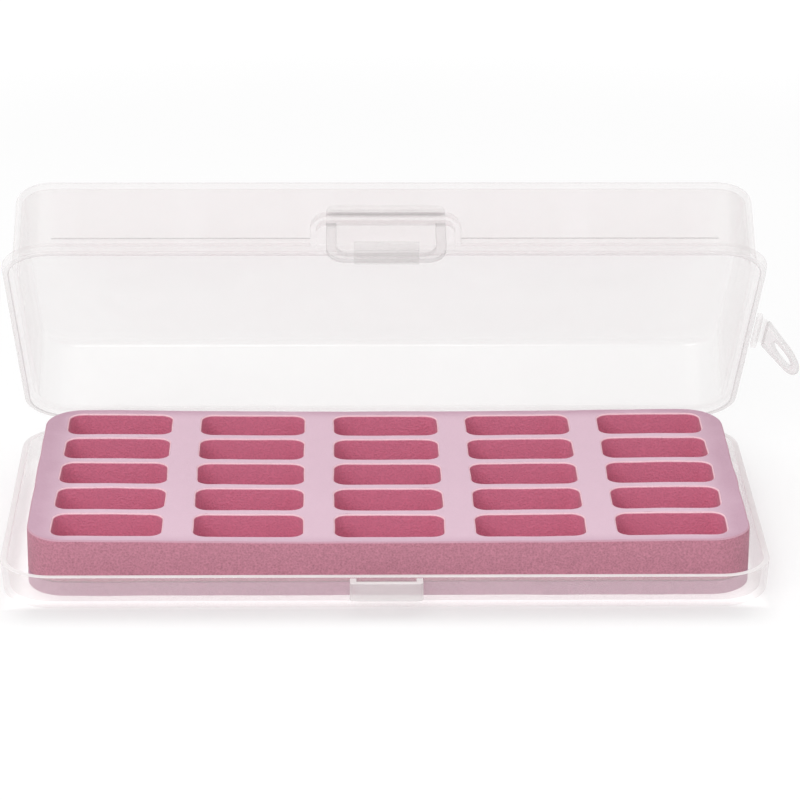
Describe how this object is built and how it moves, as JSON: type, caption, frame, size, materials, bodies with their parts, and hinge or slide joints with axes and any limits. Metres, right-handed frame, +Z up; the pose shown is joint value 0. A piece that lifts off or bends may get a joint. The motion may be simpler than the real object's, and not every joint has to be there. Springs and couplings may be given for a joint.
{
  "type": "hinged foam-lined storage case",
  "caption": "Flat clear hinged case with a slotted pink foam insert, a swinging bail latch on the lid and a hang tab.",
  "frame": {"origin": "middle of the tray's flat underside, on the surface that the case stands on", "axes": "+X along the long side to the right, +Y to the hinge side at the back, +Z up"},
  "size_m": [0.1615, 0.0931, 0.0753],
  "materials": {
    "clear_plastic": "milky clear moulded polypropylene, satin",
    "pink_foam": "fine open-cell foam, die cut",
    "pink_backing_foam": "fine open-cell foam sheet"
  },
  "bodies": {
    "tray": {"base_tray": "clear_plastic", "base_catch": "clear_plastic", "foam_block": "pink_foam", "foam_backing": "pink_backing_foam", "hinge_film_left": "clear_plastic", "hinge_film_right": "clear_plastic"},
    "lid": {"lid_shell": "clear_plastic", "lid_latch_boss": "clear_plastic", "hang_tab_lug": "clear_plastic", "latch_film": "clear_plastic", "tab_film": "clear_plastic"},
    "latch": {"latch_flap": "clear_plastic", "latch_grip": "clear_plastic"},
    "tab": {"hang_tab": "clear_plastic"}
  },
  "joints": [
    {"name": "lid_hinge", "type": "hinge", "parent": "tray", "child": "lid", "pos_m": [0, 0.04135, 0.00715], "axis": [-1, 0, 0], "range_deg": [-46, 83], "deforming": ["hinge_film_left", "hinge_film_right"]},
    {"name": "latch_hinge", "type": "hinge", "parent": "lid", "child": "latch", "pos_m": [0, -0.01008, 0.07207], "axis": [-1, 0, 0], "range_deg": [-25, 85], "deforming": ["latch_film"]},
    {"name": "tab_hinge", "type": "hinge", "parent": "lid", "child": "tab", "pos_m": [0.0782, 0.0114, 0.03939], "axis": [0, 0.6947, -0.7193], "range_deg": [-145, 35], "deforming": ["tab_film"]}
  ]
}
